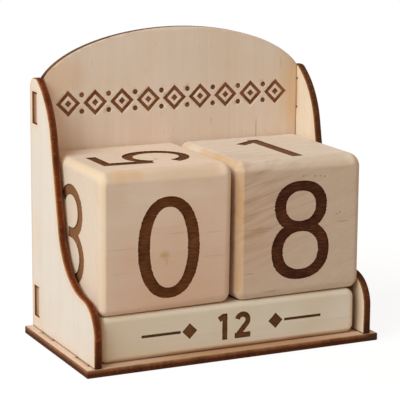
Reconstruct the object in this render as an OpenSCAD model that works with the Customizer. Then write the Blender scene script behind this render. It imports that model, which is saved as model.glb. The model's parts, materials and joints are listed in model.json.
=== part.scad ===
// Perpetual desk calendar: a laser-cut plywood stand, two date cubes and three month bars.
// Millimetres, +Z up, -Y is the front. The origin is the middle of the base plate's underside.

/* [Cubes] */
// Side of a date cube
cube_side = 50; // [46:0.5:51]
// Rounding along the edges of a cube
cube_round = 2.6; // [1.5:0.1:3.5]
// How far sanding has cut the corners back along the cube's diagonal
corner_cut = 2.6; // [2:0.1:4]
// Gap between the two cubes
cube_gap = 1.9; // [0.6:0.1:3]
// Room between a cube and the side panel beside it
side_gap = 0.75; // [0.4:0.05:2]
// Gap between the cubes and the back panel
rear_gap = 0.4; // [0.2:0.1:1]

/* [Month bars] */
// Rounding along the edges of a bar
bar_round = 1.8; // [0.8:0.1:2.5]
// Space left between bars, cubes and base so that they slide
play = 0.1; // [0.05:0.01:0.2]

/* [Stand] */
// Thickness of the plywood
ply = 2.8; // [2.5:0.1:3.2]
// How far the base plate stands out past each side panel
base_lip = 2.95; // [1:0.05:6]
// How far the base plate stands out past the side panels at the front and rear
base_edge = 0.4; // [0.2:0.1:3]
// Height of the side panels above the floor
side_h = 95.8; // [95:0.2:108]
// Depth of the side panels where they are widest
side_d = 60.8; // [60:0.1:72]
// Depth of the strip of side panel behind the back panel
rear_strip = 3.9; // [3:0.1:6]
// Height of the back panel's crown above the floor
crown_h = 112.3; // [109:0.1:130]
// How far the ellipse of the crown would run out past the inside of each side panel
crown_out = 2.3; // [1:0.1:25]

/* [Side panel outline] */
// Depth of the level stretch at the top, with its rear corner
top_d = 7.2; // [6:0.1:8.4]
// Distance of the brow behind the middle
brow_y = 12; // [11.6:0.1:13]
// Height of the brow
brow_h = 87.5; // [85:0.1:88]
// Radius of the brow
brow_r = 30; // [12:1:32]
// Distance of the waist in front of the middle
waist_y = 0.8; // [0:0.1:3]
// Height of the waist
waist_h = 27.2; // [25.8:0.1:31]
// Radius of the hollow curve at the waist
waist_r = 24; // [10:1:25]
// Height of the shoulder at the front edge
shoulder_h = 23.3; // [20:0.1:24]
// Radius of the shoulder
shoulder_r = 11.6; // [6:0.1:12.4]

/* [Tabs and slots] */
// Length of the slots
slot_l = 11.6; // [8:0.1:12]
// Room left in a slot beyond the ends of its tab, both ends together
slot_room = 1.2; // [0.4:0.1:1.6]
// Extra width of the slots in the side panels, behind the back panel
rear_slack = 1.4; // [0:0.1:1.8]
// Gap left by the laser round a tab
kerf = 0.08; // [0.05:0.01:0.15]
// Width of the notch that the laser leaves beside each slot corner
slot_notch = 0.55; // [0.2:0.05:0.6]
// Height of the upper back panel tab's middle
upper_tab_h = 85; // [80:0.5:88]
// Height of the lower back panel tab's middle
lower_tab_h = 13.2; // [10:0.1:16]
// Distance of the rear foot tab's middle behind the middle of the side
rear_foot_y = 14; // [10:0.1:18]
// Distance of the front foot tab's middle in front of the middle of the side
front_foot_y = 19.7; // [10:0.1:22]

/* [Engraving] */
// Depth of the engraving
engrave = 0.4; // [0.2:0.1:0.6]
// Height of the date digits
digit_h = 36; // [28:0.5:38]
// How far the date digits sit below the middle of their face
digit_drop = 1.6; // [0:0.1:2]
// Width of the upright strokes of a date digit
digit_up = 4.5; // [3:0.1:5]
// Width of the level strokes of a date digit
digit_level = 3.7; // [2.5:0.1:4.5]
// Height of the month numbers
month_h = 9.6; // [7:0.1:11]
// Width of the strokes of a month number
month_stroke = 2; // [1.2:0.1:2.4]
// Height of the ornament band's middle on the back panel
band_h = 86; // [82:0.5:88]
// Height of one lozenge in the ornament band
lozenge_h = 9.4; // [6:0.1:10]
// Number of lozenges in the ornament band
lozenge_count = 9; // [5:1:9]

/* [Hidden] */
$fn = 48;

birch = "#e3d0b4";
pale_wood = "#d9bf9c";

bay_w = 2 * cube_side + cube_gap + 2 * side_gap;
outer_w = bay_w + 2 * ply;
base_w = outer_w + 2 * base_lip;
base_d = side_d + 2 * base_edge;
base_corner = 0.3;
// Front face of the back panel, and the front of the cubes and of the front bar
back_y = side_d / 2 - rear_strip - ply;
front_y = back_y - rear_gap - cube_side;
// Square bars, as many as fit side by side under a cube, planed to a tenth of a millimetre
bar_count = 3;
bar_pitch = cube_side / bar_count;
bar_side = floor(10 * bar_pitch) / 10 - play;
bar_l = 2 * cube_side;
bar_z = ply + play;
// Distance of a cube's middle from the line between the cubes, which sit a little to the right
cube_x = (cube_side + cube_gap) / 2;
cube_shift = 0.6 * side_gap;
cube_y = front_y + cube_side / 2;
cube_z = bar_z + bar_side + play + cube_side / 2;
tab_l = slot_l - slot_room;
slot_w = ply + 2 * kerf;
crown_half = bay_w / 2 + crown_out;
rear_corner_r = 4;
top_corner_r = 3.5;
// Faces of each cube as digit, turn and how far the engraver was out to the right and upwards
tens_faces = [[0, [90, 0, 0], [0.4, -0.8]], [3, [90, 0, -90], [0, 0.5]], [5, [0, 0, 90], [-0.9, 1.5]],
              [1, [90, 0, 90], [0, 0]], [2, [90, 0, 180], [0.3, 0.2]], [4, [180, 0, 0], [-0.3, 0.4]]];
units_faces = [[8, [90, 0, 0], [0.2, 0.6]], [6, [90, 0, -90], [0, 0]], [1, [0, 0, 0], [-0.5, -0.4]],
               [7, [90, 0, 90], [0.2, 0.3]], [0, [90, 0, 180], [-0.4, 0]], [2, [180, 0, 0], [0.3, 0]]];
months_per_bar = 4;
// Share of a digit's height that is its width, and the space between two digits of a month
digit_aspect = 0.65;
digit_space = 1.3;
// Power that makes the round strokes a little squarer than ellipses
oval_power = 0.9;
// Marks on both sides of a month number
mark_x = 0.34 * cube_side;
mark_h = 0.6 * month_h;
rule_x = 0.56 * cube_side;
rule_l = 0.3 * cube_side;
// Ornament band, with shares of a lozenge's height for what is drawn in it and beside it
band_w = 0.92 * bay_w;
lozenge_hole = 0.62;
lozenge_core = 0.28;
dot_rise = 0.32;
dot_size = 0.2;
curve_steps = 20;
over = 0.5;

// Points and outlines

function unit(v) = v / norm(v);

// Points along part of an ellipse
function bow(c, rx, ry, from, to) =
    [for (i = [0 : curve_steps])
        let (a = from + (to - from) * i / curve_steps)
        c + [rx * cos(a), ry * sin(a)]];

function swell(t) = sign(t) * pow(abs(t), oval_power);

// A full oval, a little squarer than an ellipse
function oval(c, w, h) =
    [for (i = [0 : 2 * curve_steps - 1])
        let (a = 180 * i / curve_steps)
        c + [w / 2 * swell(cos(a)), h / 2 * swell(sin(a))]];

// The arc of radius r that rounds the corner at p between its neighbours
function corner(before, p, after, r) =
    let (u = unit(before - p),
         v = unit(after - p),
         half = acos(u * v) / 2,
         c = p + unit(u + v) * r / sin(half),
         start = p + u * r / tan(half) - c,
         end = p + v * r / tan(half) - c,
         from = atan2(start.y, start.x),
         turn = (atan2(end.y, end.x) - from + 540) % 360 - 180)
    bow(c, r, r, from, from + turn);

// An outline of corners, each given as [x, y, radius]
function rounded(corners) =
    let (n = len(corners))
    [for (i = [0 : n - 1])
        let (b = corners[(i + n - 1) % n], p = corners[i], a = corners[(i + 1) % n])
        each p[2] > 0 ? corner([b.x, b.y], [p.x, p.y], [a.x, a.y], p[2]) : [[p.x, p.y]]];

// Strokes and digits, drawn flat and centred

function heading(path, i) = unit(path[min(i + 1, len(path) - 1)] - path[max(i - 1, 0)]);
function offset_point(path, i, side, up, level) =
    let (t = heading(path, i))
    path[i] + side * norm([t.y * up, t.x * level]) / 2 * [-t.y, t.x];

// A pen stroke along a path, as wide as up where it runs upright and level where it runs level
module stroke(path, up, level) {
    n = len(path) - 1;
    polygon(concat([for (i = [0 : n]) offset_point(path, i, 1, up, level)],
                   [for (i = [n : -1 : 0]) offset_point(path, i, -1, up, level)]));
}

module ring(c, w, h, up, level) {
    difference() {
        polygon(oval(c, w, h));
        polygon(oval(c, w - 2 * up, h - 2 * level));
    }
}

// A digit, trimmed level at the top and foot
module digit(d, h, up, level) {
    intersection() {
        digit_strokes(d, h, up, level);
        square([2 * h, h], center = true);
    }
}

// The strokes of each digit, placed by shares of its height
module digit_strokes(d, h, up, level) {
    w = digit_aspect * h;
    side = (w - up) / 2;
    top = (h - level) / 2;
    if (d == 0) ring([0, 0], w, h, up, level);
    if (d == 1) {
        stroke([[0.05 * h, -h / 2], [0.05 * h, h / 2]], up, level);
        stroke([[0.07 * h, 0.45 * h], [-0.19 * h, 0.29 * h]], up, level);
    }
    if (d == 2) {
        stroke(concat(bow([0, top - side], side, side, 165, -35), [[-side, -top]]), up, level);
        stroke([[-w / 2, -top], [w / 2, -top]], up, level);
    }
    if (d == 3) {
        stroke(bow([-0.06 * h, 0.52 * top], 0.88 * side, 0.48 * top, 150, -90), up, level);
        stroke(bow([-0.06 * h, -0.48 * top], side, 0.52 * top, 90, -150), up, level);
        stroke([[-0.14 * h, 0.04 * top], [-0.05 * h, 0.04 * top]], up, level);
    }
    if (d == 4) {
        stroke([[0.16 * h, -h / 2], [0.16 * h, h / 2]], up, level);
        stroke([[-w / 2, -0.2 * h], [w / 2, -0.2 * h]], up, level);
        stroke([[0.13 * h, 0.46 * h], [-side, -0.2 * h]], up, level);
    }
    if (d == 5) {
        stroke([[-0.25 * h, top], [0.2 * h, top]], up, level);
        stroke([[-0.22 * h, h / 2], [-0.25 * h, -0.02 * h]], up, level);
        stroke(bow([-0.01 * h, -0.36 * top], side, 0.64 * top, 152, -160), up, level);
    }
    if (d == 6) {
        ring([0, -0.2 * h], w, 0.6 * h, up, level);
        stroke(bow([0.62 * h, -0.2 * h], 0.62 * h + side, 0.62 * h, 180, 112), up, level);
    }
    if (d == 7) {
        stroke([[-w / 2, top], [w / 2, top]], up, level);
        stroke([[side, top], [-0.12 * h, -h / 2]], up, level);
    }
    if (d == 8) {
        ring([0, (h - 0.51 * h) / 2], 0.9 * w, 0.51 * h, up, level);
        ring([0, -(h - 0.59 * h) / 2], w, 0.59 * h, up, level);
    }
    if (d == 9) rotate(180) digit_strokes(6, h, up, level);
}

// A month number with a lozenge and a rule on each side of it
module month(m) {
    pitch = digit_aspect * month_h + digit_space;
    digits = m < 10 ? [m] : [floor(m / 10), m % 10];
    for (i = [0 : len(digits) - 1])
        translate([pitch * (i - (len(digits) - 1) / 2), 0])
            digit(digits[i], month_h, month_stroke, month_stroke);
    for (side = [-1, 1]) {
        translate([side * mark_x, 0]) lozenge(mark_h);
        translate([side * rule_x, 0]) square([rule_l, month_stroke / 2], center = true);
    }
}

module lozenge(h) {
    rotate(45) square(h / sqrt(2), center = true);
}

// A row of open lozenges with a small one in each and a pair of dots between them
module ornament_band() {
    pitch = band_w / lozenge_count;
    last = lozenge_count - 1;
    for (i = [0 : last])
        translate([pitch * (i - last / 2), 0]) {
            difference() {
                lozenge(lozenge_h);
                lozenge(lozenge_hole * lozenge_h);
            }
            lozenge(lozenge_core * lozenge_h);
            if (i < last)
                for (y = [-1, 1])
                    translate([pitch / 2, y * dot_rise * lozenge_h]) circle(d = dot_size * lozenge_h);
        }
}

// Cuts a flat drawing into a face that lies d away from the origin, turned to look outwards
module engraving(turn, d) {
    rotate(turn) translate([0, 0, d - engrave]) linear_extrude(engrave + over) children();
}

// Wooden blocks

module rounded_rect(w, h, r) {
    square([w, h - 2 * r], center = true);
    square([w - 2 * r, h], center = true);
    for (x = [-1, 1], y = [-1, 1]) translate([x * (w / 2 - r), y * (h / 2 - r)]) circle(r);
}

// A planed block with its edges rounded over
module block(x, y, z, r) {
    intersection() {
        linear_extrude(z, center = true) rounded_rect(x, y, r);
        rotate([90, 0, 0]) linear_extrude(y, center = true) rounded_rect(x, z, r);
        rotate([0, 90, 0]) linear_extrude(x, center = true) rounded_rect(z, y, r);
    }
}

module date_cube(faces) {
    difference() {
        intersection() {
            block(cube_side, cube_side, cube_side, cube_round);
            sphere(cube_side * sqrt(3) / 2 - corner_cut);
        }
        for (face = faces)
            engraving(face[1], cube_side / 2)
                translate(face[2] - [0, digit_drop]) digit(face[0], digit_h, digit_up, digit_level);
    }
}

// Bar number i counts from the rear; its last month faces the front and the others follow over the top
module month_bar(i) {
    translate([0, front_y + (bar_count - i - 1) * bar_pitch + bar_side / 2, bar_z + bar_side / 2])
        difference() {
            block(bar_l, bar_side, bar_side, bar_round);
            for (k = [0 : months_per_bar - 1])
                engraving([90 - 90 * k, 0, 0], bar_side / 2) month(months_per_bar * (i + 1) - k);
        }
}

// Plywood panels

// A slot running along y, with the notches that the laser leaves at the corners of the sides named
module slot(w, sides) {
    square([w, slot_l], center = true);
    for (side = sides, end = [-1, 1])
        translate([side * w / 2, end * (slot_l - slot_notch) / 2])
            square([2 * slot_notch, slot_notch], center = true);
}

function side_outline() =
    rounded([[side_d / 2, ply, 0],
             [side_d / 2, side_h, rear_corner_r],
             [side_d / 2 - top_d, side_h, top_corner_r],
             [brow_y, brow_h, brow_r],
             [-waist_y, waist_h, waist_r],
             [-side_d / 2, shoulder_h, shoulder_r],
             [-side_d / 2, ply, 0]]);

module side_panel(inner_x) {
    translate([inner_x, 0, 0]) rotate([90, 0, 90]) linear_extrude(ply) difference() {
        union() {
            polygon(side_outline());
            for (y = [rear_foot_y, -front_foot_y])
                translate([y - tab_l / 2, kerf]) square([tab_l, ply]);
        }
        for (z = [upper_tab_h, lower_tab_h])
            translate([back_y + (ply + rear_slack) / 2, z]) slot(slot_w + rear_slack, [-1]);
    }
}

// Height that the crown's ellipse rises over its ends at the side panels
function crown_rise(x) = sqrt(1 - pow(x / crown_half, 2));
function crown_z(x) =
    let (ends = crown_rise(bay_w / 2))
    side_h + (crown_h - side_h) * (crown_rise(x) - ends) / (1 - ends);

module base_plate() {
    color(birch) linear_extrude(ply) difference() {
        rounded_rect(base_w, base_d, base_corner);
        for (x = [-1, 1], y = [rear_foot_y, -front_foot_y])
            translate([x * (bay_w + ply) / 2, y]) slot(slot_w, [-1, 1]);
    }
}

module left_side() {
    color(birch) side_panel(-bay_w / 2 - ply);
}

module right_side() {
    color(birch) side_panel(bay_w / 2);
}

module back_panel() {
    half = bay_w / 2 - kerf;
    crown_steps = 3 * curve_steps;
    color(birch) difference() {
        translate([0, back_y + ply, 0]) rotate([90, 0, 0]) linear_extrude(ply) {
            polygon(concat([[-half, ply], [half, ply]],
                           [for (i = [0 : crown_steps])
                               let (x = half * (1 - 2 * i / crown_steps)) [x, crown_z(x)]]));
            for (z = [upper_tab_h, lower_tab_h])
                translate([0, z]) square([outer_w - 2 * kerf, tab_l], center = true);
        }
        translate([0, 0, band_h]) engraving([90, 0, 0], -back_y) ornament_band();
    }
}

module tens_cube() {
    color(pale_wood) translate([cube_shift - cube_x, cube_y, cube_z]) date_cube(tens_faces);
}

module units_cube() {
    color(pale_wood) translate([cube_shift + cube_x, cube_y, cube_z]) date_cube(units_faces);
}

module rear_month_bar() {
    color(pale_wood) month_bar(0);
}

module middle_month_bar() {
    color(pale_wood) month_bar(1);
}

module front_month_bar() {
    color(pale_wood) month_bar(2);
}

base_plate();
left_side();
right_side();
back_panel();
tens_cube();
units_cube();
front_month_bar();
middle_month_bar();
rear_month_bar();
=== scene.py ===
import json
import math

import bmesh
import bpy
from mathutils import Matrix, Vector, noise
from mathutils.kdtree import KDTree


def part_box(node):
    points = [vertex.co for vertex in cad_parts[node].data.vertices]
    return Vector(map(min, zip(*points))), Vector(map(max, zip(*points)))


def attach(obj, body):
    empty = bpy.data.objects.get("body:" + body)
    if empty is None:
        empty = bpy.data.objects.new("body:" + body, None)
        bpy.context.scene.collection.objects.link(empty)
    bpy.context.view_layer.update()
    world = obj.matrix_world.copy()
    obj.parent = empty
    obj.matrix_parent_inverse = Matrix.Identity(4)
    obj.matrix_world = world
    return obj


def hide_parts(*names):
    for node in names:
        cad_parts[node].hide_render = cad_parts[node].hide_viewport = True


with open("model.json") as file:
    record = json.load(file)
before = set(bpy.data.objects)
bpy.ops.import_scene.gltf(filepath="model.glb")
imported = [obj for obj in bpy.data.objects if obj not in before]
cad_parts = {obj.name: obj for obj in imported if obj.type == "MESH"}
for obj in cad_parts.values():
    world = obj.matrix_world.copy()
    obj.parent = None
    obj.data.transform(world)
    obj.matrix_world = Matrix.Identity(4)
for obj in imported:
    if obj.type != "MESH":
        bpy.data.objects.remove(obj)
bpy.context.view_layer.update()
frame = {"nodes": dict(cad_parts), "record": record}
mm = 0.001
axes = "xyz"
xAxis, yAxis, zAxis = range(3)
axisLines = [Vector([float(j == k) for j in range(3)]) for k in range(3)]
signs = (-1.0, 1.0)
hair = 1e-7                       # m, points closer than this to a cut are on it
weldGap = 0.001 * mm              # points closer than this are one
sunkDepth = 0.01 * mm             # what lies deeper than this below a flat face is engraved
wallLean = 0.5                    # a face whose normal points outwards by less than this is a wall
woodIor = 1.45                    # typical of dry wood
bodyOf = {node: body for body, nodes in frame["record"]["behaviour"]["bodies"].items() for node in nodes}
print("frame loaded with", len(frame["nodes"]), "wooden pieces")


# camera, at the place that the picture was taken from
cameraSettings = {
    "azimuth": -25.71,            # degrees, from the front towards the left
    "elevation": 11.79,
    "roll": 0.425,                # uprights lean a little to the right
    "distance": 625.5,            # mm from the aim point
    "aim": (-0.57, 0.0, 51.61),
    "focal": 1721.4,              # pixels
    "picture": 400,               # pixels across
    "sensor": 36.0,               # mm
    "clip": (0.01, 20.0),         # m
}


def placeCamera(s):
    turn, lift, roll = (math.radians(s[k]) for k in ("azimuth", "elevation", "roll"))
    back = Vector((math.sin(turn) * math.cos(lift), -math.cos(turn) * math.cos(lift), math.sin(lift)))
    level = Vector((math.cos(turn), math.sin(turn), 0))
    upright = back.cross(level)
    right = level * math.cos(roll) + upright * math.sin(roll)
    up = upright * math.cos(roll) - level * math.sin(roll)
    camera = bpy.data.objects.new("camera", bpy.data.cameras.new("camera"))
    bpy.context.scene.collection.objects.link(camera)
    camera.data.sensor_width = s["sensor"]
    camera.data.lens = s["focal"] * s["sensor"] / s["picture"]
    camera.data.clip_start, camera.data.clip_end = s["clip"]
    camera.matrix_world = Matrix((right, up, back)).transposed().to_4x4()
    camera.location = (Vector(s["aim"]) + back * s["distance"]) * mm
    bpy.context.scene.camera = camera


placeCamera(cameraSettings)
print("camera placed")


# material helpers
def hexToLinear(code):
    values = [int(code[i:i + 2], 16) / 255 for i in (1, 3, 5)]
    return tuple(v / 12.92 if v <= 0.04045 else ((v + 0.055) / 1.055) ** 2.4 for v in values) + (1.0,)


def addNode(tree, kind, settings=None, inputs=None):
    node = tree.nodes.new(kind)
    for name, value in (settings or {}).items():
        if name == "ramp":
            stops = node.color_ramp.elements
            while len(stops) < len(value):
                stops.new(1.0)
            for stop, (place, code) in zip(stops, value):
                stop.position = place
                stop.color = hexToLinear(code)
        else:
            setattr(node, name, value)
    for name, value in (inputs or {}).items():
        socket = next(s for i, s in enumerate(node.inputs) if name in (i, s.identifier, s.name))
        if isinstance(value, bpy.types.NodeSocket):
            tree.links.new(value, socket)
        else:
            socket.default_value = value
    return node


def newMaterial(name):
    material = bpy.data.materials.new(name)
    material.use_nodes = True
    material.node_tree.nodes.clear()
    return material, material.node_tree


# lays tones over a colour in turn, each as far as its pattern has risen from one level to the other
def layTones(tree, colour, layers):
    for tone, pattern, low, high, most in layers:
        share = addNode(tree, "ShaderNodeMapRange", None,
                        {"Value": pattern, "From Min": low, "From Max": high, "To Min": 0.0, "To Max": most})
        colour = addNode(tree, "ShaderNodeMix", {"data_type": "RGBA"},
                         {"Factor_Float": share.outputs[0], "A_Color": colour,
                          "B_Color": hexToLinear(tone)}).outputs[2]    # the mixed colour
    return colour


# stains, cracks, scorches, grain lines and painted shade as layers: tone, middle, size along each axis in
# mm, share
def markLayers(tree, place, marks):
    layers = []
    for tone, middle, size, most in marks:
        shrunk = addNode(tree, "ShaderNodeMapping", {"vector_type": "TEXTURE"},
                         {"Vector": place, "Location": [c * mm for c in middle],
                          "Scale": [c * mm / 2 for c in size]})
        away = addNode(tree, "ShaderNodeVectorMath", {"operation": "LENGTH"}, {0: shrunk.outputs[0]})
        layers.append((tone, away.outputs["Value"], 1.0, 0.5, most))    # full up to half way out
    return layers


# how fine and how bent the noise of each pattern in wood is
grainDetail = {"fibre": (4.0, 0.0), "bands": (2.0, 0.6), "clouds": (2.0, 0.0), "flecks": (1.0, 0.0),
               "streaks": (2.0, 0.3)}


# patterns stretched along the grain, each by its own length and width in the settings
def grainPatterns(tree, place, grain, keys, s):
    pattern = {}
    for key in keys:
        long, wide = s[key]
        detail, bend = grainDetail[key]
        sizes = [long if k == grain else wide for k in range(3)]
        laid = addNode(tree, "ShaderNodeMapping", None,
                       {"Vector": place, "Scale": [1 / (mm * size) for size in sizes]})
        pattern[key] = addNode(tree, "ShaderNodeTexNoise", None,
                               {"Vector": laid.outputs[0], "Scale": 1.0, "Detail": detail, "Roughness": 0.6,
                                "Distortion": bend}).outputs[0]
    return pattern


# bare wood has no lacquer, so it is dull, and its relief follows the fibres or the laser's rows
def bareWood(tree, colour, height, s):
    rough = s["rough"]
    if s["roughSpread"]:
        rough = addNode(tree, "ShaderNodeMapRange", None,
                        {"Value": height, "To Min": rough - s["roughSpread"],
                         "To Max": rough + s["roughSpread"]}).outputs[0]
    bump = addNode(tree, "ShaderNodeBump", None,
                   {"Height": height, "Distance": s["relief"] * mm, "Strength": s["reliefShare"]})
    shader = addNode(tree, "ShaderNodeBsdfPrincipled", None,
                     {"Base Color": colour, "Roughness": rough, "Normal": bump.outputs[0],
                      "IOR": woodIor, "Specular IOR Level": s["gloss"]})
    addNode(tree, "ShaderNodeOutputMaterial", None, {"Surface": shader.outputs[0]})


# sanded birch plywood: a pale rotary-cut veneer, which shows close fibres along the grain, broad soft bands
# and rare brown flecks
birchSettings = {
    "tone": "#e8d6c3",
    "band": "#dfc9af",
    "warm": "#e4c3a0",
    "fleck": "#a9825c",
    "heat": "#e6bd97",            # where the laser has warmed it
    "soot": "#5a3414",            # in the joints
    "sootShare": 0.6,
    "fibre": (26.0, 0.55),        # mm long and wide
    "fibreShare": 0.45,
    "bands": (110.0, 7.0),
    "bandShare": 0.5,
    "clouds": (30.0, 30.0),
    "cloudShare": 0.45,
    "flecks": (5.0, 0.5),
    "fleckShare": 0.4,
    # noise levels at which each pattern starts to show and is full
    "rise": {"fibre": (0.35, 0.75), "bands": (0.42, 0.72), "clouds": (0.5, 0.8), "flecks": (0.74, 0.8)},
    "marks": [],
    "rough": 0.62,
    "roughSpread": 0.1,
    "relief": 0.03,               # mm
    "reliefShare": 0.5,
    "gloss": 0.3,
}


def birchFace(name, grain, s):
    material, tree = newMaterial(name)
    place = addNode(tree, "ShaderNodeTexCoord").outputs["Object"]
    pattern = grainPatterns(tree, place, grain, ("fibre", "bands", "clouds", "flecks"), s)
    layers = [(s[tone], pattern[key], *s["rise"][key], s[share]) for tone, key, share in (
        ("band", "fibre", "fibreShare"), ("band", "bands", "bandShare"),
        ("warm", "clouds", "cloudShare"), ("fleck", "flecks", "fleckShare"))]
    for tone, key, most in (("heat", "heatTint", 1.0), ("soot", "kerf", s["sootShare"])):
        stored = addNode(tree, "ShaderNodeAttribute", {"attribute_name": key})
        layers.append((s[tone], stored.outputs["Fac"], 0.0, 1.0, most))
    colour = layTones(tree, hexToLinear(s["tone"]), layers + markLayers(tree, place, s["marks"]))
    bareWood(tree, colour, pattern["fibre"], s)
    return material


# laser-cut plywood edge: scorched brown plies, dark glue lines, fine grooves straight through the sheet
edgeSettings = {
    "soot": "#2e1408",
    "bare": "#b98c66",            # where the char has fallen off
    "bareShare": 0.25,
    "specks": 0.9,                # mm
    "grooves": 0.8,               # mm apart, drawn coarser than the real 0.2 so that they show
    "grooveShare": 0.25,
    "scorch": 7.0,
    "scorchShare": 0.4,
    "kerfShare": 0.85,            # soot in the joints
    "rise": {"grooves": (0.4, 0.7), "specks": (0.6, 0.72), "scorch": (0.42, 0.7)},
    "marks": [],
    "rough": 0.7,
    "roughSpread": 0.0,
    "relief": 0.06,
    "reliefShare": 0.6,
    "gloss": 0.08,
}
# tones through the sheet, from its left, front or lower face: the cut's own plies and char, and painted
# light, as each edge is drawn lighter towards the face that the lamp lights and darker next to the floor
leftPlies = [(0.0, "#bd8a5c"), (0.1, "#a66a42"), (0.22, "#84431c"), (0.36, "#6e300f"), (0.7, "#682b0e"),
             (0.84, "#76422a"), (1.0, "#845438")]
rightPlies = [(0.0, "#96704c"), (0.12, "#7c4c2c"), (0.25, "#66361a"), (0.7, "#5c2f16"), (0.85, "#5e3826"),
              (1.0, "#6a4a3a")]
basePlies = [(0.0, "#5c3a30"), (0.12, "#5c3828"), (0.22, "#552811"), (0.5, "#5a2a10"), (0.65, "#7a472a"),
             (0.84, "#946242"), (1.0, "#a07250")]
backPlies = [(0.0, "#4e2a16"), (0.08, "#8a5c3c"), (0.3, "#80543a"), (0.36, "#5a341c"), (0.62, "#7a5030"),
             (0.7, "#5a341c"), (0.92, "#8a5c3c"), (1.0, "#4e2a16")]


def laserEdge(name, plies, s):
    material, tree = newMaterial(name)
    cutPlace, depth, kerf = [addNode(tree, "ShaderNodeAttribute", {"attribute_name": key})
                             for key in ("cutPlace", "plyDepth", "kerf")]
    along = cutPlace.outputs["Vector"]
    around = addNode(tree, "ShaderNodeTexCoord").outputs["Object"]
    pattern = {}
    for key, place, detail in (("grooves", along, 3.0), ("specks", around, 1.0), ("scorch", along, 3.0)):
        pattern[key] = addNode(tree, "ShaderNodeTexNoise", None,
                               {"Vector": place, "Scale": 1 / (s[key] * mm), "Detail": detail}).outputs[0]
    through = addNode(tree, "ShaderNodeValToRGB", {"ramp": plies}, {"Fac": depth.outputs["Fac"]})
    layers = [(s[tone], pattern[key], *s["rise"][key], s[share]) for tone, key, share in (
        ("soot", "grooves", "grooveShare"), ("bare", "specks", "bareShare"),
        ("soot", "scorch", "scorchShare"))]
    layers.append((s["soot"], kerf.outputs["Fac"], 0.0, 1.0, s["kerfShare"]))
    colour = layTones(tree, through.outputs["Color"], layers + markLayers(tree, around, s["marks"]))
    bareWood(tree, colour, pattern["grooves"], s)
    return material


# wood burnt away by a laser that sweeps to and fro: matt brown char in level streaks
burnSettings = {
    "streak": (4.0, 0.5),         # mm long and high, drawn coarser than the real 0.15 so that they show
    "patches": 7.0,
    "patchShare": 0.3,
    "stops": (0.34, 0.5, 0.68),   # noise levels of the dark, middle and light char
    "pale": "#b07a50",            # a lighter burn, for the faces given one; on the units' top it is painted light
    "rough": 0.85,
    "roughSpread": 0.0,
    "relief": 0.08,
    "reliefShare": 0.6,
    "gloss": 0.2,
}


def burntEngraving(name, tones, s):
    material, tree = newMaterial(name)
    place = addNode(tree, "ShaderNodeAttribute", {"attribute_name": "rasterPlace"}).outputs["Vector"]
    long, high = s["streak"]
    laid = addNode(tree, "ShaderNodeMapping", None,
                   {"Vector": place, "Scale": (1 / (long * mm), 1 / (high * mm), 0)})
    streaks = addNode(tree, "ShaderNodeTexNoise", None,
                      {"Vector": laid.outputs[0], "Scale": 1.0, "Detail": 3.0, "Roughness": 0.6})
    patches = addNode(tree, "ShaderNodeTexNoise", None,
                      {"Vector": place, "Scale": 1 / (s["patches"] * mm), "Detail": 1.0})
    both = addNode(tree, "ShaderNodeMix", {"data_type": "FLOAT"},
                   {"Factor_Float": s["patchShare"], "A_Float": streaks.outputs[0],
                    "B_Float": patches.outputs[0]})
    char = addNode(tree, "ShaderNodeValToRGB", {"ramp": list(zip(s["stops"], tones))},
                   {"Fac": both.outputs[0]})
    pale = addNode(tree, "ShaderNodeAttribute", {"attribute_name": "burnPale"})
    colour = layTones(tree, char.outputs["Color"], [(s["pale"], pale.outputs["Fac"], 0.0, 1.0, 1.0)])
    bareWood(tree, colour, streaks.outputs[0], s)
    return material


# sanded lime wood: even and pale, with faint growth rings, short fine fibres and a warmer tone on the
# rounded edges, partly sanding and partly painted light and shade
limeSettings = {
    "tone": "#e3cab0",
    "ring": "#d3b18d",
    "warm": "#e0b589",
    "fleck": "#8f6a48",
    "edge": "#e6c59d",
    "edgeShare": 0.9,
    "edgePatches": (0.2, 0.6),    # the clouds break up the warmer edges between these levels
    "fibre": (22.0, 0.55),        # mm long and wide
    "fibreShare": 0.35,
    "ringPitch": 4.5,
    "ringShare": 0.22,
    "ringStretch": 0.25,          # rings change at this share of their rate along the grain
    "ringBend": 2.2,              # how far they waver
    "pith": (0.0, 60.0, -45.0),   # mm from the block's middle to the heart of the tree, across the grain
    "tilt": 0.0,                  # degrees that the grain rises to the right, seen from the front
    "clouds": (24.0, 24.0),
    "cloudShare": 0.5,
    "flecks": (1.8, 0.4),
    "fleckShare": 0.3,
    "streaks": (20.0, 1.7),       # the strong grain's
    "figure": None,               # strong grain: tone, place in mm from the block's middle, reach, share
    "frontShade": None,                # painted shade over the front: tone, y in mm where it is full and where it ends, share
    "tints": [],                  # broad changes of tone, painted shade and bounce light on the tens cube and the bars: tone, place in mm from the block's middle, reach
    "spots": [],                  # knots and stains, given in the same way
    "spotShare": 0.8,
    "marks": [],                  # dark lines and painted shade on the upper edges, laid from the block's middle
    "rise": {"fibre": (0.4, 0.75), "rings": (0.3, 1.0), "clouds": (0.5, 0.8), "flecks": (0.76, 0.82),
             "streaks": (0.42, 0.72)},
    "rough": 0.6,
    "roughSpread": 0.1,
    "relief": 0.03,
    "reliefShare": 0.5,
    "gloss": 0.3,
}


def growthRings(tree, place, s):
    oneUnit = 0.314               # scale of the wave texture at which a ring is one unit wide
    fromPith = addNode(tree, "ShaderNodeMapping", None,
                       {"Vector": place, "Location": [-p / s["ringPitch"] for p in s["pith"]],
                        "Scale": [share / (mm * s["ringPitch"]) for share in (s["ringStretch"], 1.0, 1.0)]})
    rings = addNode(tree, "ShaderNodeTexWave",
                    {"wave_type": "RINGS", "rings_direction": "X", "wave_profile": "SAW"},
                    {"Vector": fromPith.outputs[0], "Scale": oneUnit, "Distortion": s["ringBend"],
                     "Detail": 2.0, "Detail Scale": 0.6})
    return rings.outputs["Fac"]


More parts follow.
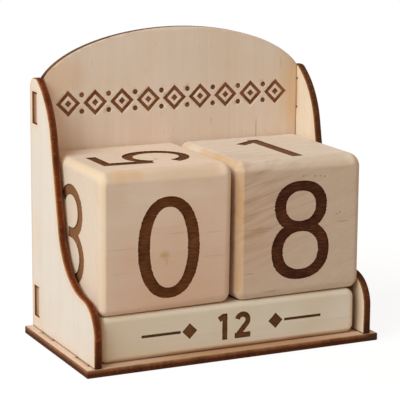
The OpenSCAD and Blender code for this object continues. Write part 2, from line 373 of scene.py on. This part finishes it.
def spotLayers(tree, local, spots, most):
    layers = []
    for tone, point, reach in spots:
        away = addNode(tree, "ShaderNodeVectorMath", {"operation": "DISTANCE"},
                       {0: local, 1: [p * mm for p in point]})
        layers.append((tone, away.outputs["Value"], reach * mm, 0.0, most))
    return layers


# strong grain in one part of the block
def figureLayer(tree, local, streaks, s):
    tone, point, reach, most = s["figure"]
    away = addNode(tree, "ShaderNodeVectorMath", {"operation": "DISTANCE"},
                   {0: local, 1: [p * mm for p in point]})
    near = addNode(tree, "ShaderNodeMapRange", None,
                   {"Value": away.outputs["Value"], "From Min": reach * mm, "From Max": 0.0})
    low, high = s["rise"]["streaks"]
    strong = addNode(tree, "ShaderNodeMapRange", None, {"Value": streaks, "From Min": low, "From Max": high})
    both = addNode(tree, "ShaderNodeMath", {"operation": "MULTIPLY"},
                   {0: near.outputs[0], 1: strong.outputs[0]})
    return tone, both.outputs[0], 0.0, 1.0, most


def limeWood(name, middle, s):
    material, tree = newMaterial(name)
    place = addNode(tree, "ShaderNodeTexCoord").outputs["Object"]
    local = addNode(tree, "ShaderNodeVectorMath", {"operation": "SUBTRACT"},
                    {0: place, 1: middle}).outputs[0]
    turned = addNode(tree, "ShaderNodeVectorRotate", {"rotation_type": "Y_AXIS"},
                     {"Vector": local, "Angle": math.radians(s["tilt"])}).outputs[0]
    pattern = grainPatterns(tree, turned, xAxis, ("fibre", "clouds", "flecks", "streaks"), s)
    pattern["rings"] = growthRings(tree, turned, s)
    wornAndLit = addNode(tree, "ShaderNodeAttribute", {"attribute_name": "edgeWear"})
    low, high = s["edgePatches"]
    patchy = addNode(tree, "ShaderNodeMapRange", None,
                     {"Value": pattern["clouds"], "From Min": low, "From Max": high})
    edges = addNode(tree, "ShaderNodeMath", {"operation": "MULTIPLY"},
                    {0: wornAndLit.outputs["Fac"], 1: patchy.outputs[0]})
    layers = []
    # painted shade: the front is darkened near its face, where less light falls on it
    if s["frontShade"]:
        tone, full, end, most = s["frontShade"]
        depth = addNode(tree, "ShaderNodeSeparateXYZ", None, {"Vector": local})
        layers.append((tone, depth.outputs["Y"], end * mm, full * mm, most))
    layers += [(s[tone], pattern[key], *s["rise"][key], s[share]) for tone, key, share in (
        ("ring", "fibre", "fibreShare"), ("ring", "rings", "ringShare"), ("warm", "clouds", "cloudShare"))]
    layers += spotLayers(tree, local, s["tints"], s["spotShare"])
    if s["figure"]:
        layers.append(figureLayer(tree, local, pattern["streaks"], s))
    # the warm edge tone: partly sanding, partly painted light and shade
    layers.append((s["edge"], edges.outputs[0], 0.0, 1.0, s["edgeShare"]))
    layers += markLayers(tree, local, s["marks"])
    layers += spotLayers(tree, local, s["spots"], s["spotShare"])
    layers.append((s["fleck"], pattern["flecks"], *s["rise"]["flecks"], s["fleckShare"]))
    bareWood(tree, layTones(tree, hexToLinear(s["tone"]), layers), pattern["fibre"], s)
    return material


# mesh helpers
flatAngle = 0.1                   # degrees, faces that meet at less are one flat face


def cadCopy(node):
    bm = bmesh.new()
    bm.from_mesh(frame["nodes"][node].data)
    bmesh.ops.remove_doubles(bm, verts=bm.verts, dist=weldGap)
    bmesh.ops.dissolve_limit(bm, angle_limit=math.radians(flatAngle), verts=bm.verts, edges=bm.edges)
    return bm


def addPiece(name, node, bm, materials, bevel=None):
    mesh = bpy.data.meshes.new(name)
    bm.to_mesh(mesh)
    bm.free()
    for material in materials:
        mesh.materials.append(material)
    mesh.polygons.foreach_set("use_smooth", [True] * len(mesh.polygons))
    piece = bpy.data.objects.new(name, mesh)
    bpy.context.scene.collection.objects.link(piece)
    if bevel:
        modifier = piece.modifiers.new("rim", "BEVEL")
        for key, value in bevel.items():
            setattr(modifier, key, value)
        graph = bpy.context.evaluated_depsgraph_get()
        shaped = piece.evaluated_get(graph)
        piece.data = bpy.data.meshes.new_from_object(shaped, preserve_all_data_layers=True, depsgraph=graph)
        piece.modifiers.clear()
        bpy.data.meshes.remove(mesh)
        piece.data.name = name
    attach(piece, bodyOf[node])
    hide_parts(node)
    return piece


def addAttribute(piece, name, kind, values):
    attribute = piece.data.attributes.new(name, kind, "POINT")
    for item, value in zip(attribute.data, values):
        if kind == "FLOAT":
            item.value = value
        else:
            item.vector = value


def crossing(faces, axis, level):
    return [f for f in faces if min(v.co[axis] for v in f.verts) < level < max(v.co[axis] for v in f.verts)]


# cuts faces by a plane square to the line, and gives the faces that are left
def cutFaces(bm, faces, line, level, clear=False):
    parts = [*faces, *(e for f in faces for e in f.edges), *(v for f in faces for v in f.verts)]
    cut = bmesh.ops.bisect_plane(bm, geom=list(dict.fromkeys(parts)), dist=hair, plane_co=line * level,
                                 plane_no=line, clear_outer=clear)
    return [g for g in cut["geom"] if isinstance(g, bmesh.types.BMFace)]


# a laser's sweep starts and ends a little early or late in each row, so engraved walls are cut into rows
# and shifted
rasterSettings = {
    "row": 0.5,                   # mm, drawn coarser than the real 0.15
    "drift": (3.0, 0.4),          # mm along and across the sweep over which the error changes
}


def raggedWalls(bm, walls, sweep, step, most, s):
    heights = [v.co[step] for f in walls for v in f.verts] or [0.0]
    low, high = min(heights), max(heights)
    for i in range(1, math.ceil((high - low) / (s["row"] * mm))):
        level = low + i * s["row"] * mm
        parts = cutFaces(bm, crossing(walls, step, level), axisLines[step], level)
        walls = list(dict.fromkeys(walls + parts))
    for vert in {v for f in walls for v in f.verts}:
        spot = Vector((vert.co[sweep] / s["drift"][0], vert.co[step] / s["drift"][1], 0)) / mm
        vert.co[sweep] += most * mm * noise.noise(spot)


# plywood panels: the two veneers, the scorched edge all round, and any engraving in the front
panelSettings = {
    "rim": 0.28,                  # mm of scorched rim where the cut breaks through the veneer
    "rimAngle": 50.0,             # degrees, sharper edges have a rim
    "creaseAngle": 30.0,          # degrees, sharper edges aren't shaded smooth
    "slotRim": 0.08,              # the cut is cleaner at the slots
    "slotSpan": 20.0,             # mm, more than a slot's length
    "joint": 0.58,                # mm each side of a joint that hold soot
    "jointFade": 0.1,             # mm of that over which it fades
    "engraved": 1.0,              # mm, less than the sheet's thickness
    "ragged": 0.12,               # mm that the engraving's outline is out
    "field": 1.6,                 # mm, size of the fields that carry the heat tint
    "heatReach": 3.2,             # mm that the laser's heat has yellowed the veneer
    "heatShare": 0.75,
    "heatFade": 1.5,              # power by which the heat tint fades
    "heatStep": 0.5,              # mm between the points of a cut that it is measured from
}
veneer, cutEdge, engraving = 0, 1, 2    # a panel's materials


def sortPanelFaces(bm, thin, low, high, s):
    for face in bm.faces:
        heights = [v.co[thin] for v in face.verts]
        isOuter = max(heights) - low < sunkDepth or high - min(heights) < sunkDepth
        if abs(face.normal[thin]) > wallLean:
            face.material_index = veneer if isOuter else engraving
        else:
            face.material_index = engraving if max(heights) - min(heights) < s["engraved"] * mm else cutEdge


def cutLoops(cuts):
    left = set(cuts)
    while left:
        loop, ahead = [], [left.pop()]
        while ahead:
            edge = ahead.pop()
            loop.append(edge)
            linked = {e for v in edge.verts for e in v.link_edges} & left
            left -= linked
            ahead += linked
        yield loop


# full rims round the outline, narrow ones round the slots
def weighRims(bm, cuts, s):
    slotVerts = set()
    for loop in cutLoops(cuts):
        verts = {v for e in loop for v in e.verts}
        spans = [max(v.co[k] for v in verts) - min(v.co[k] for v in verts) for k in range(3)]
        if max(spans) < s["slotSpan"] * mm:
            slotVerts |= verts
    weight = bm.edges.layers.float.new("bevel_weight_edge")
    for edge in bm.edges:
        if edge.calc_face_angle() > math.radians(s["rimAngle"]):
            edge[weight] = s["slotRim"] / s["rim"] if slotVerts.issuperset(edge.verts) else 1.0


# points along the cuts, for the distance to the nearest
def cutPoints(cuts, s):
    points = []
    for edge in cuts:
        count = math.ceil(edge.calc_length() / (s["heatStep"] * mm))
        start, end = [v.co for v in edge.verts]
        points += [start.lerp(end, (i + 0.5) / count) for i in range(count)]
    tree = KDTree(len(points))
    for i, point in enumerate(points):
        tree.insert(point, i)
    tree.balance()
    return tree


# fields over the veneers, with a cut where the soot beside a joint starts to fade and where it ends
def cutFields(mesh, thin, low, high, joints, s):
    bm = bmesh.new()
    bm.from_mesh(mesh)
    for k in range(3):
        count = round((high[k] - low[k]) / (s["field"] * mm)) if k != thin else 0
        levels = [low[k] + (high[k] - low[k]) * i / count for i in range(1, count)]
        levels += [level + side * (s["joint"] - fade) * mm for axis, level in joints if axis == k
                   for side in signs for fade in (0.0, s["jointFade"])]
        for level in levels:
            flats = [f for f in bm.faces if f.material_index == veneer]
            cutFaces(bm, crossing(flats, k, level), axisLines[k], level)
    bm.to_mesh(mesh)
    bm.free()


# thin is the axis through the sheet
def plyPanel(name, node, thin, joints, materials, s):
    low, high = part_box(node)
    bm = cadCopy(node)
    sortPanelFaces(bm, thin, low[thin], high[thin], s)
    walls = [f for f in bm.faces if f.material_index == engraving and abs(f.normal[thin]) < wallLean]
    raggedWalls(bm, walls, xAxis, zAxis, s["ragged"], rasterSettings)
    cuts = [e for e in bm.edges if {f.material_index for f in e.link_faces} == {veneer, cutEdge}]
    nearestCut = cutPoints(cuts, s)
    weighRims(bm, cuts, s)
    piece = addPiece(name, node, bm, materials, {
        "width": s["rim"] * mm, "segments": 1, "limit_method": "WEIGHT", "material": cutEdge,
        "use_clamp_overlap": True})
    cutFields(piece.data, thin, low, high, joints, s)
    piece.data.set_sharp_from_angle(angle=math.radians(s["creaseAngle"]))
    middle = (low + high) / 2
    places = [v.co.copy() for v in piece.data.vertices]
    flat = [Vector([middle[k] if k == thin else p[k] for k in range(3)]) for p in places]
    warmth = [max(0.0, 1 - nearestCut.find(p)[2] / (s["heatReach"] * mm)) for p in places]
    sooty = [max([0.0] + [s["joint"] - abs(p[k] - level) / mm for k, level in joints]) for p in places]
    addAttribute(piece, "heatTint", "FLOAT", [s["heatShare"] * w ** s["heatFade"] for w in warmth])
    addAttribute(piece, "kerf", "FLOAT", [min(1.0, x / s["jointFade"]) for x in sooty])
    thickness = high[thin] - low[thin]
    addAttribute(piece, "plyDepth", "FLOAT", [(p[thin] - low[thin]) / thickness for p in places])
    addAttribute(piece, "cutPlace", "FLOAT_VECTOR", flat)
    addAttribute(piece, "rasterPlace", "FLOAT_VECTOR", [(p.x, p.z, 0) for p in flat])


# marks: painted shade low in the right panel, two cracks and darker, warmer upper corners in the back,
# a darker strip along the base's front, which is painted shade next to the bar, a darker right front corner
# on the base's edge, and paler ends on the back panel's tabs
# painted shade on the right panel's inner face, low beside the bar's right end
rightPaintedShade = [("#9a7450", (51.7, -22.0, 11.0), (4.0, 16.0, 30.0), 0.6)]
backMarks = [("#946c48", (34.3, 23.7, 72.0), (0.6, 2.0, 11.0), 0.5),
             ("#a07850", (44.6, 23.7, 97.0), (0.6, 2.0, 6.0), 0.3),
             ("#e2b688", (-47.0, 23.7, 96.0), (28.0, 8.0, 18.0), 0.47),    # from here on, the corners
             ("#d8ae7a", (53.0, 23.7, 86.0), (20.0, 8.0, 46.0), 0.6),
             ("#e2ba88", (46.0, 23.7, 94.0), (24.0, 8.0, 22.0), 0.15)]
# a darker strip along the base's top front, which is painted shade where it reaches the bar
baseMarks = [("#bd9066", (4.0, -31.0, 2.8), (124.0, 16.0, 6.0), 1.0)]
cornerMarks = [("#4a3424", (57.5, -31.0, 2.6), (13.0, 13.0, 9.0), 0.8)]
tabMarks = [(tone, (x, 23.7, height), (3.0, 6.0, 24.0), 1.0)
            for x in (-54.4, 54.4) for tone, height in (("#a8785c", 85.0), ("#b48e6e", 13.2))]
leftBirch = birchFace("sandedBirchLeft", zAxis, birchSettings)
# the right panel's birch is drawn warmer than the left's, as painted warm bounce light
rightBirch = birchFace("sandedBirchRight", zAxis, dict(
    birchSettings, tone="#ecd6ba", band="#dfc6a2", marks=rightPaintedShade))
backBirch = birchFace("sandedBirchBack", zAxis, dict(
    birchSettings, tone="#efdac4", fibreShare=0.25, marks=backMarks))
baseBirch = birchFace("sandedBirchBase", xAxis, dict(
    birchSettings, tone="#e6c9b2", band="#dab998", warm="#d6ac84", heat="#d2a57c", marks=baseMarks))
leftEdge = laserEdge("laserCutLeftEdge", leftPlies, edgeSettings)
rightEdge = laserEdge("laserCutRightEdge", rightPlies, edgeSettings)
baseEdge = laserEdge("laserCutBaseEdge", basePlies, dict(
    edgeSettings, scorchShare=0.6, bareShare=0.12, marks=cornerMarks))
backEdge = laserEdge("laserCutBackEdge", backPlies, dict(edgeSettings, marks=tabMarks))
plyBurn = burntEngraving("laserBurnPly", ("#6c3c20", "#8d5734", "#a8734b"), burnSettings)
# joints, as an axis and a place on it: the side panels' feet, and the side panels' inner faces
foot = [(zAxis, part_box("base_plate")[1].z)]
flanks = [(xAxis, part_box("left_side")[1].x), (xAxis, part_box("right_side")[0].x)]
plyPanel("basePlatePly", "base_plate", zAxis, [], [baseBirch, baseEdge, plyBurn], panelSettings)
plyPanel("leftSidePly", "left_side", xAxis, foot, [leftBirch, leftEdge, plyBurn], panelSettings)
plyPanel("rightSidePly", "right_side", xAxis, foot, [rightBirch, rightEdge, plyBurn], panelSettings)
plyPanel("backPanelPly", "back_panel", yAxis, flanks, [backBirch, backEdge, plyBurn],
         dict(panelSettings, rim=0.36, heatShare=0.2))
print("plywood stand dressed")


# solid blocks: flat faces with their engraving, and edges sanded by hand, each by its own width
sanded, burnt = 0, 1    # a block's materials


def faceAxis(point, half):
    return max(range(3), key=lambda k: abs(point[k]) - half[k])


def sideName(axis, point):
    return axes[axis] + ("+" if point[axis] > 0 else "-")


# only the flat faces and their engraving are kept, by axis and sign
def flatPatches(bm, half, s):
    patches = {}
    for face in list(bm.faces):
        point = face.calc_center_median()
        axis = faceAxis(point, half)
        isDeep = half[axis] - abs(point[axis]) > s["deep"] * mm
        isAside = any(abs(point[k]) > half[k] - s["cadRound"] * mm for k in range(3) if k != axis)
        if isDeep or isAside:
            bm.faces.remove(face)
        else:
            patches.setdefault((axis, math.copysign(1, point[axis])), []).append(face)
    bmesh.ops.delete(bm, geom=[v for v in bm.verts if not v.link_faces], context="VERTS")
    bmesh.ops.delete(bm, geom=[e for e in bm.edges if not e.link_faces], context="EDGES")
    return patches


# places of the lattice over the faces along each axis, close at the edges
def latticeLines(half, s):
    lines = []
    for k in range(3):
        inner = half[k] - s["ring"][-1] * mm
        steps = round(2 * inner / (s["step"] * mm))
        outer = [half[k] - a * mm for a in s["ring"]]
        between = [-inner + 2 * inner * i / steps for i in range(1, steps)]
        lines.append([-c for c in outer] + between + outer[::-1])
    return lines


# trims each patch, roughens its engraving and puts a frame of lattice round it
def frameFaces(bm, patches, half, s):
    lines = latticeLines(half, s)
    last = [len(line) - 1 for line in lines]
    trim = half - Vector([s["frame"] * mm] * 3)
    inset = len(s["ring"]) - 1
    lattice = {}

    def latticeVert(places):
        key = tuple(places[k] for k in range(3))
        if key not in lattice:
            lattice[key] = bm.verts.new([lines[k][key[k]] for k in range(3)])
        return lattice[key]

    for (axis, sign), faces in patches.items():
        u, v = [k for k in range(3) if k != axis]
        flat = 0 if sign < 0 else last[axis]
        for k in (u, v):
            for side in signs:
                faces = cutFaces(bm, faces, axisLines[k] * side, trim[k], clear=True)
        rim = {p for f in faces for p in f.verts}
        sweep, step = (v, u) if axis == zAxis and s["turnedTop"] else (u, v)
        walls = [f for f in faces if abs(f.normal[axis]) < wallLean]
        raggedWalls(bm, walls, sweep, step, s["ragged"], rasterSettings)
        for i in range(last[u]):
            for j in range(last[v]):
                if not (inset <= i < last[u] - inset and inset <= j < last[v] - inset):
                    bm.faces.new([latticeVert({axis: flat, u: i + a, v: j + b})
                                  for a, b in ((0, 0), (1, 0), (1, 1), (0, 1))])
        for k, across in ((u, v), (v, u)):
            for side in signs:
                row = inset if side < 0 else last[k] - inset
                outside = [latticeVert({axis: flat, k: row, across: i})
                           for i in range(inset, last[across] + 1 - inset)]
                inside = sorted((p for p in rim if abs(p.co[k] - side * trim[k]) < weldGap),
                                key=lambda p: -p.co[across])
                bm.faces.new(outside + inside)
    bmesh.ops.recalc_face_normals(bm, faces=bm.faces)
    return list(lattice.values())


# rounds each edge between the widths at its two ends, and gives each rounded point's share of the warm edge
# tone, partly sanding and partly painted light and shade
def roundEdges(verts, half, s):
    reach = s["ring"][-1] * mm

    def edgeAt(a, b, point):
        key = "".join(sideName(k, point) for k in sorted((a, b)))
        start, end, power, tint = s["edges"].get(key, s["edges"]["other"])
        along = 3 - a - b
        return (start + (end - start) * (point[along] / half[along] + 1) / 2) * mm, power, tint

    wearAndLight = {}
    for vert in verts:
        point = vert.co.copy()
        near = [max(0.0, 1 - (half[k] - abs(point[k])) / reach) for k in range(3)]
        pairs = [(near[a] * near[b], edgeAt(a, b, point))
                 for a, b in ((xAxis, yAxis), (yAxis, zAxis), (xAxis, zAxis))]
        total = sum(weight for weight, edge in pairs)
        if total == 0:
            continue
        power = sum(weight * edge[1] for weight, edge in pairs) / total
        tint = sum(weight * edge[2] for weight, edge in pairs) / total
        widths, shares = [], []
        for a in range(3):
            others = [b for b in range(3) if b != a]
            weights = sum(near[b] for b in others)
            width = sum(near[b] * edgeAt(a, b, point)[0] for b in others)
            widths.append(width / weights if weights else reach)
            shares.append(max(0.0, 1 - (half[a] - abs(point[a])) / widths[a]))
        size = sum(e ** power for e in shares) ** (1 / power)
        if size > s["onRound"]:
            wearAndLight[vert] = tint * min(1.0, (size - 1) / s["wearAndLightFade"])
            vert.co = [math.copysign(half[a] - widths[a] * (1 - shares[a] / size), point[a]) if shares[a] > 0
                       else point[a] for a in range(3)]
    return wearAndLight


# flat faces stay flat and the rounding runs smoothly out of them
def setNormals(mesh, isRound):
    flatNormal = {}
    for face in mesh.polygons:
        if face.material_index == sanded and not any(isRound[v] for v in face.vertices):
            for v in face.vertices:
                flatNormal[v] = face.normal.copy()
    normals = []
    for face in mesh.polygons:
        if any(isRound[v] for v in face.vertices):
            normals += [tuple(mesh.vertices[v].normal if isRound[v] else flatNormal.get(v, face.normal))
                        for v in face.vertices]
        else:
            normals += [tuple(face.normal)] * len(face.vertices)
    mesh.normals_split_custom_set(normals)


def woodBlock(name, node, materials, s):
    low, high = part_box(node)
    middle, half = (low + high) / 2, (high - low) / 2
    bm = cadCopy(node)
    bmesh.ops.translate(bm, vec=-middle, verts=bm.verts)
    patches = flatPatches(bm, half, s)
    wearAndLight = roundEdges(frameFaces(bm, patches, half, s), half, s)
    for face in bm.faces:
        point = face.calc_center_median()
        axis = faceAxis(point, half)
        isSunk = half[axis] - abs(point[axis]) > sunkDepth
        face.material_index = burnt if isSunk and not any(v in wearAndLight for v in face.verts) else sanded
    bm.verts.index_update()
    isRound = [v in wearAndLight for v in bm.verts]
    wornAndLit = [wearAndLight.get(v, 0.0) for v in bm.verts]
    places, pale = [], []
    for vert in bm.verts:
        axis = faceAxis(vert.co, half)
        u, v = [vert.co[k] for k in range(3) if k != axis]
        places.append((v, u, 0) if axis == zAxis and s["turnedTop"] else (u, v, 0))
        pale.append(s["paleBurn"].get(sideName(axis, vert.co), 0.0))
    bmesh.ops.translate(bm, vec=middle, verts=bm.verts)
    piece = addPiece(name, node, bm, materials)
    addAttribute(piece, "edgeWear", "FLOAT", wornAndLit)
    addAttribute(piece, "rasterPlace", "FLOAT_VECTOR", places)
    addAttribute(piece, "burnPale", "FLOAT", pale)
    setNormals(piece.data, isRound)


def middleOf(node):
    low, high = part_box(node)
    return (low + high) / 2


# date cubes
cubeSettings = {
    "frame": 4.45,                # mm from the edges to where the engraved middle of a face begins
    "deep": 0.45,                 # mm, just more than the engraving
    "cadRound": 2.6,              # mm of even rounding that is taken off
    "ragged": 0.28,               # mm that the engraving's outline is out
    "ring": [0.0, 0.35, 0.7, 1.05, 1.4, 1.8, 2.2, 2.65, 3.1, 3.6, 4.3],    # mm from the edges to the lattice
    "step": 2.5,                  # mm between its other lines
    "onRound": 1.0001,            # reach in widths of an edge, past which a point is on its rounding
    "wearAndLightFade": 0.12,             # share of an edge's width over which its warmer tone comes in
    "turnedTop": False,           # the top's digit lies on its side
    "paleBurn": {},               # faces with a lighter burn, and how much; on the units' top it is painted light
}
# widths in mm at the two ends of an edge, roundness (2 is a circle) and its share of the warm edge tone,
# partly sanding and partly painted light, most on the edges that face the lamp
tensCube = dict(cubeSettings, turnedTop=True, paleBurn={"x-": 0.35}, edges={
    "other": (2.6, 2.6, 2.0, 0.3), "x-y-": (2.0, 2.2, 1.4, 0.9), "y-z+": (3.8, 4.3, 1.6, 0.6),
    "x-z+": (3.2, 3.0, 1.9, 1.0), "x+y-": (3.6, 2.6, 2.0, 0.1), "y-z-": (2.2, 3.8, 2.0, 0.1),
    "x+z-": (3.8, 3.0, 2.0, 0.1)})
# the lighter burn on the units' top is painted light
unitsCube = dict(cubeSettings, paleBurn={"z+": 0.25}, edges={
    "other": (2.8, 2.8, 2.0, 0.3), "x-y-": (2.5, 2.5, 1.2, 1.0), "y-z+": (3.4, 4.3, 1.4, 0.0),
    "x-z+": (2.8, 3.0, 1.6, 1.0), "x+y-": (2.6, 2.8, 2.0, 0.1), "x+z+": (4.2, 3.4, 2.0, 0.2),
    "y-z-": (3.0, 3.8, 2.0, 0.1), "x-z-": (3.4, 3.0, 2.0, 0.1), "x+z-": (4.2, 3.0, 2.0, 0.1)})
# what shows on the cubes' fronts, as x and z in mm from the cube's middle, and a line's length
front = -25.0                     # mm, y of the front from the cube's middle
lineDepth = 3.0                   # mm into the wood
lineWidth = 0.8                   # drawn coarser than the real 0.3 so that the lines show
tensLines = [(-17.2, -1.6, 14.0), (3.4, 2.4, 11.0), (18.0, -7.0, 12.0), (17.4, 1.6, 8.0),
             (-18.6, -10.1, 8.0)]
unitsLines = [(-17.0, 0.7, 17.0), (-15.6, -0.3, 9.0), (17.4, 0.8, 7.0), (15.0, 3.7, 2.0),
              (-20.2, -15.2, 5.5), (-11.4, -22.4, 8.0)]
unitsStains = [(-21.0, -1.4), (-18.5, -0.9), (-16.0, -0.3)]
unitsPores = [(1.0, 18.7), (5.7, 18.3), (7.9, 18.2), (9.6, 17.8), (16.3, 4.2)]


def grainLines(tone, lines, most):
    return [(tone, (x, front, z), (long, lineDepth, lineWidth), most) for x, z, long in lines]


# the tens cube has fine dark lines and a knot in its front, which is painted warmer and darker towards the
# bottom as shade and warm bounce light, painted shade on its upper edge and at the back of its top and left,
# and two resin stains
tensPaintedShade = [("#c06820", (4.0, -55.0, -22.0), 49.0), ("#b8a28c", (-85.0, 10.0, 25.0), 90.0)]
tensSpots = [("#c9a061", (-1.2, front, -5.0), 2.2), ("#4a2c18", (-25.0, -24.2, -5.4), 0.6),
             ("#d9a877", (-17.0, -24.0, 24.5), 5.0), ("#d9a877", (-11.5, -24.0, 24.5), 4.0),
             ("#9a7350", (4.1, -5.5, 25.0), 1.4)]
tensMarks = grainLines("#8a6546", tensLines, 0.13) + [
    ("#c8a888", (4.0, -30.0, 24.5), (72.0, 24.0, 8.0), 0.55),    # painted shade on the upper edge
    ("#b08a50", (-1.3, front, -5.2), (5.0, 3.0, 1.4), 0.3),      # the knot's two arms
    ("#b08a50", (-0.5, front, -7.4), (1.3, 3.0, 3.4), 0.22)]
tensWood = dict(limeSettings, tone="#ebcfb4", fibre=(10.0, 0.9), fibreShare=0.17, ringShare=0.1,
                tints=tensPaintedShade, spots=tensSpots, marks=tensMarks)
# the units cube has strong slanting grain in the front's upper left, a soft stain and dark lines below it, a
# few dark pores, and painted shade over its front, on its upper edge and on the edge in the gap beside the
# tens cube
unitsTints = [("#d6b090", (-25.0, front, 2.0), 34.0)]
unitsSpots = [("#c09a76", (x, front, z), 2.6) for x, z in unitsStains]
unitsSpots += [("#8a6546", (x, front, z), 0.5) for x, z in unitsPores]
unitsMarks = grainLines("#7a563a", unitsLines, 0.26) + [
    ("#c8a888", (14.0, -30.0, 24.5), (72.0, 24.0, 8.0), 0.4)]
# the darker front and the darker edge beside the tens cube are painted shade
unitsWood = dict(limeSettings, tone="#e6d0b8", tilt=17.0, ring="#b08c68", fibre=(3.5, 0.9), fibreShare=0.2,
                 ringShare=0.08, ringPitch=5.0, pith=(0.0, 40.0, 50.0), edge="#d0a26e", cloudShare=0.25,
                 frontShade=("#d6bca2", front, -23.2, 0.95), figure=("#a07a56", (-19.0, front, 10.0), 32.0, 0.65),
                 tints=unitsTints, spots=unitsSpots, marks=unitsMarks)
for name, node, wood, tones, shape in (
        ("tensCubeLime", "tens_cube", tensWood, ("#45220b", "#623514", "#7b4c26"), tensCube),
        ("unitsCubeLime", "units_cube", unitsWood, ("#2e1106", "#4b240e", "#6c4022"), unitsCube)):
    woodBlock(name, node, [limeWood(name + "Face", middleOf(node), wood),
                           burntEngraving(name + "Burn", tones, burnSettings)], shape)
print("date cubes dressed")


# month bars
# the bars' lower front edge takes all of the darker edge tone, as painted shade above the base
barEdges = {
    "other": (2.0, 2.0, 2.0, 0.1), "x+y-": (2.4, 2.8, 2.0, 0.1), "x+z+": (3.2, 2.4, 1.4, 0.1),
    "x+z-": (3.2, 2.4, 1.5, 0.1), "x-z+": (2.6, 2.4, 2.0, 0.1), "y-z-": (2.0, 2.0, 2.0, 1.0)}
barSettings = dict(cubeSettings, frame=3.3, cadRound=1.8, ragged=0.1, edges=barEdges,
                   ring=[0.0, 0.3, 0.6, 0.95, 1.3, 1.7, 2.15, 2.6, 3.2])
# the darker, warmer tone at each bar's left end is painted shade and warm bounce light
barWood = dict(limeSettings, tone="#ecdec8", ring="#dcc8a8", warm="#dcc49e", edge="#c49a74", ringShare=0.15,
               fibre=(34.0, 0.45), fleckShare=0.15, tints=[("#dfc8a6", (-50.0, -8.0, 0.0), 66.0)])
barChar = ("#503016", "#694222", "#7e5632")
for name, node in (("frontBarLime", "front_month_bar"), ("middleBarLime", "middle_month_bar"),
                   ("rearBarLime", "rear_month_bar")):
    woodBlock(name, node, [limeWood(name + "Face", middleOf(node), barWood),
                           burntEngraving(name + "Burn", barChar, burnSettings)], barSettings)
print("month bars dressed")


# floor, light and background
stageSettings = {
    "floorSize": 8.0,             # m
    "floorTone": "#cbc6c0",
    "floorGlow": 0.75,            # share of white for the camera alone, so that the floor reads as white
    "floorWhite": 1.18,           # glow near the object, which makes white together with the lit floor
    "shadowReach": (0.1, 0.25),   # m from the middle, where the floor's own shade fades to white
    "worldTone": (0.44, 0.345, 0.275),    # linear light
    "keyTone": (0.75, 0.93, 1.08),
    "keyPlace": (-0.83, -0.28, 0.75),     # m
    "keySize": 0.8,
    "keyLevel": 1.0,
}


# 1 for what is seen straight, in a gloss or through glass
def seenShare(tree):
    rays = addNode(tree, "ShaderNodeLightPath")
    seen = rays.outputs["Is Camera Ray"]
    for name in ("Is Glossy Ray", "Is Transmission Ray"):
        seen = addNode(tree, "ShaderNodeMath", {"operation": "MAXIMUM"},
                       {0: seen, 1: rays.outputs[name]}).outputs[0]
    return seen


def stageFloor(s):
    bm = bmesh.new()
    bmesh.ops.create_grid(bm, x_segments=1, y_segments=1, size=s["floorSize"] / 2)
    mesh = bpy.data.meshes.new("floor")
    bm.to_mesh(mesh)
    bm.free()
    floor = bpy.data.objects.new("floor", mesh)
    bpy.context.scene.collection.objects.link(floor)
    material, tree = newMaterial("paleFloor")
    place = addNode(tree, "ShaderNodeTexCoord").outputs["Object"]
    reach = addNode(tree, "ShaderNodeVectorMath", {"operation": "LENGTH"}, {0: place})
    start, end = s["shadowReach"]
    far = addNode(tree, "ShaderNodeMapRange", {"interpolation_type": "SMOOTHSTEP"},
                  {"Value": reach.outputs["Value"], "From Min": start, "From Max": end})
    whiteShare = addNode(tree, "ShaderNodeMapRange", None,
                         {"Value": far.outputs[0], "To Min": s["floorGlow"], "To Max": 1.0})
    whiteSeen = addNode(tree, "ShaderNodeMath", {"operation": "MULTIPLY"},
                        {0: whiteShare.outputs[0], 1: seenShare(tree)})
    strength = addNode(tree, "ShaderNodeMapRange", None,
                       {"Value": far.outputs[0], "To Min": s["floorWhite"], "To Max": 1.0})
    diffuse = addNode(tree, "ShaderNodeBsdfDiffuse", None, {"Color": hexToLinear(s["floorTone"])})
    white = addNode(tree, "ShaderNodeEmission", None, {"Strength": strength.outputs[0]})
    both = addNode(tree, "ShaderNodeMixShader", None,
                   {0: whiteSeen.outputs[0], 1: diffuse.outputs[0], 2: white.outputs[0]})
    addNode(tree, "ShaderNodeOutputMaterial", None, {"Surface": both.outputs[0]})
    mesh.materials.append(material)


def stageLight(s):
    world = bpy.data.worlds.new("studio")
    bpy.context.scene.world = world
    world.use_nodes = True
    tree = world.node_tree
    tree.nodes.clear()
    room = addNode(tree, "ShaderNodeBackground", None, {"Color": s["worldTone"] + (1.0,), "Strength": 1.0})
    white = addNode(tree, "ShaderNodeBackground", None, {"Color": (1.0, 1.0, 1.0, 1.0), "Strength": 1.0})
    both = addNode(tree, "ShaderNodeMixShader", None,
                   {0: seenShare(tree), 1: room.outputs[0], 2: white.outputs[0]})
    addNode(tree, "ShaderNodeOutputWorld", None, {"Surface": both.outputs[0]})
    place = Vector(s["keyPlace"])
    lamp = bpy.data.lights.new("softbox", "AREA")
    lamp.size = s["keySize"]
    lamp.color = s["keyTone"]
    lamp.energy = s["keyLevel"] * math.pi ** 2 * place.length_squared    # the same light at any distance
    key = bpy.data.objects.new("softbox", lamp)
    bpy.context.scene.collection.objects.link(key)
    key.location = place
    key.rotation_mode = "QUATERNION"
    key.rotation_quaternion = place.to_track_quat("Z", "Y")


stageFloor(stageSettings)
stageLight(stageSettings)
bpy.context.scene.view_settings.view_transform = "Standard"
print("floor and light set")
